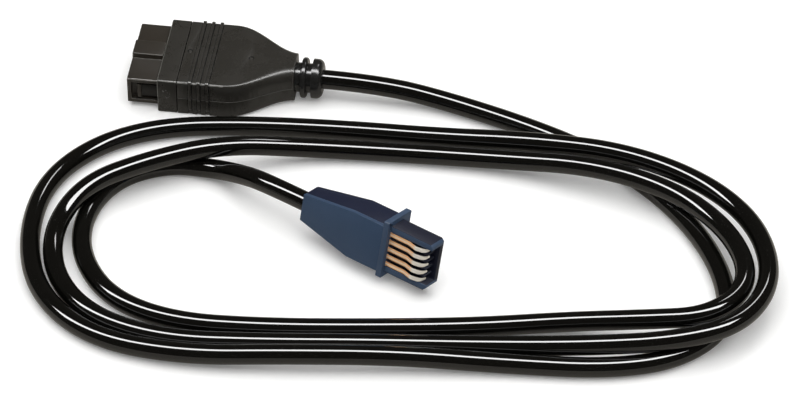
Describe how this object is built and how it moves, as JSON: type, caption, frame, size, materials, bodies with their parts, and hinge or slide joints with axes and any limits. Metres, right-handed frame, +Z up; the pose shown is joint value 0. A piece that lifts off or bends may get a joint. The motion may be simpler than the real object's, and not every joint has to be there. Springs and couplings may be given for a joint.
{
  "type": "digital gauge data cable",
  "caption": "Coiled round data lead with a keyed two-row socket in a ribbed black hood at one end and a blue plug with a slotted spring-contact tongue at the other.",
  "frame": {"origin": "on the surface it lies on, under the middle of the black connector (hood, socket and boot)", "axes": "+X along the black connector from the socket mouth towards its cable, +Z up out of the surface"},
  "size_m": [0.151, 0.0943, 0.0141],
  "materials": {
    "hood_plastic": "fine satin moulding",
    "socket_plastic": "satin moulding",
    "boot_rubber": "semi-gloss flexible moulding",
    "cable_jacket": "glossy extruded jacket",
    "blue_plastic": "fine matt moulding",
    "contact_metal": "gold-plated spring metal",
    "crimp_metal": "tinned",
    "wire_insulation": "smooth"
  },
  "bodies": {
    "cable_set": {"socket_body": "socket_plastic", "socket_cover": "socket_plastic", "socket_contacts": "contact_metal", "hood_collar": "hood_plastic", "hood_top_shell": "hood_plastic", "hood_bottom_shell": "hood_plastic", "cable_boot": "boot_rubber", "front_jacket_end": "cable_jacket", "front_crimp_sleeve": "crimp_metal", "front_core_wires": "wire_insulation", "cable": "cable_jacket", "plug_case": "blue_plastic", "plug_cover": "blue_plastic", "contact_carrier": "blue_plastic", "contact_tails": "contact_metal", "rear_core_wires": "wire_insulation", "rear_jacket_end": "cable_jacket"},
    "contact_leaf_1": {"contact_leaf_1": "contact_metal"},
    "contact_leaf_2": {"contact_leaf_2": "contact_metal"},
    "contact_leaf_3": {"contact_leaf_3": "contact_metal"},
    "contact_leaf_4": {"contact_leaf_4": "contact_metal"},
    "contact_leaf_5": {"contact_leaf_5": "contact_metal"}
  },
  "joints": [
    {"name": "leaf_1_flex", "type": "hinge", "parent": "cable_set", "child": "contact_leaf_1", "pos_m": [0.04039, -0.0536, 0.00464], "axis": [0.1206, 0.2347, 0.9646], "range_deg": [0, 5], "stiffness_Nm_per_rad": 0.057},
    {"name": "leaf_2_flex", "type": "hinge", "parent": "cable_set", "child": "contact_leaf_2", "pos_m": [0.04059, -0.05322, 0.00624], "axis": [0.1206, 0.2347, 0.9646], "range_deg": [0, 5], "stiffness_Nm_per_rad": 0.057},
    {"name": "leaf_3_flex", "type": "hinge", "parent": "cable_set", "child": "contact_leaf_3", "pos_m": [0.04079, -0.05283, 0.00783], "axis": [0.1206, 0.2347, 0.9646], "range_deg": [0, 5], "stiffness_Nm_per_rad": 0.057},
    {"name": "leaf_4_flex", "type": "hinge", "parent": "cable_set", "child": "contact_leaf_4", "pos_m": [0.04099, -0.05244, 0.00942], "axis": [0.1206, 0.2347, 0.9646], "range_deg": [0, 5], "stiffness_Nm_per_rad": 0.057},
    {"name": "leaf_5_flex", "type": "hinge", "parent": "cable_set", "child": "contact_leaf_5", "pos_m": [0.04118, -0.05205, 0.01101], "axis": [0.1206, 0.2347, 0.9646], "range_deg": [0, 5], "stiffness_Nm_per_rad": 0.057}
  ]
}
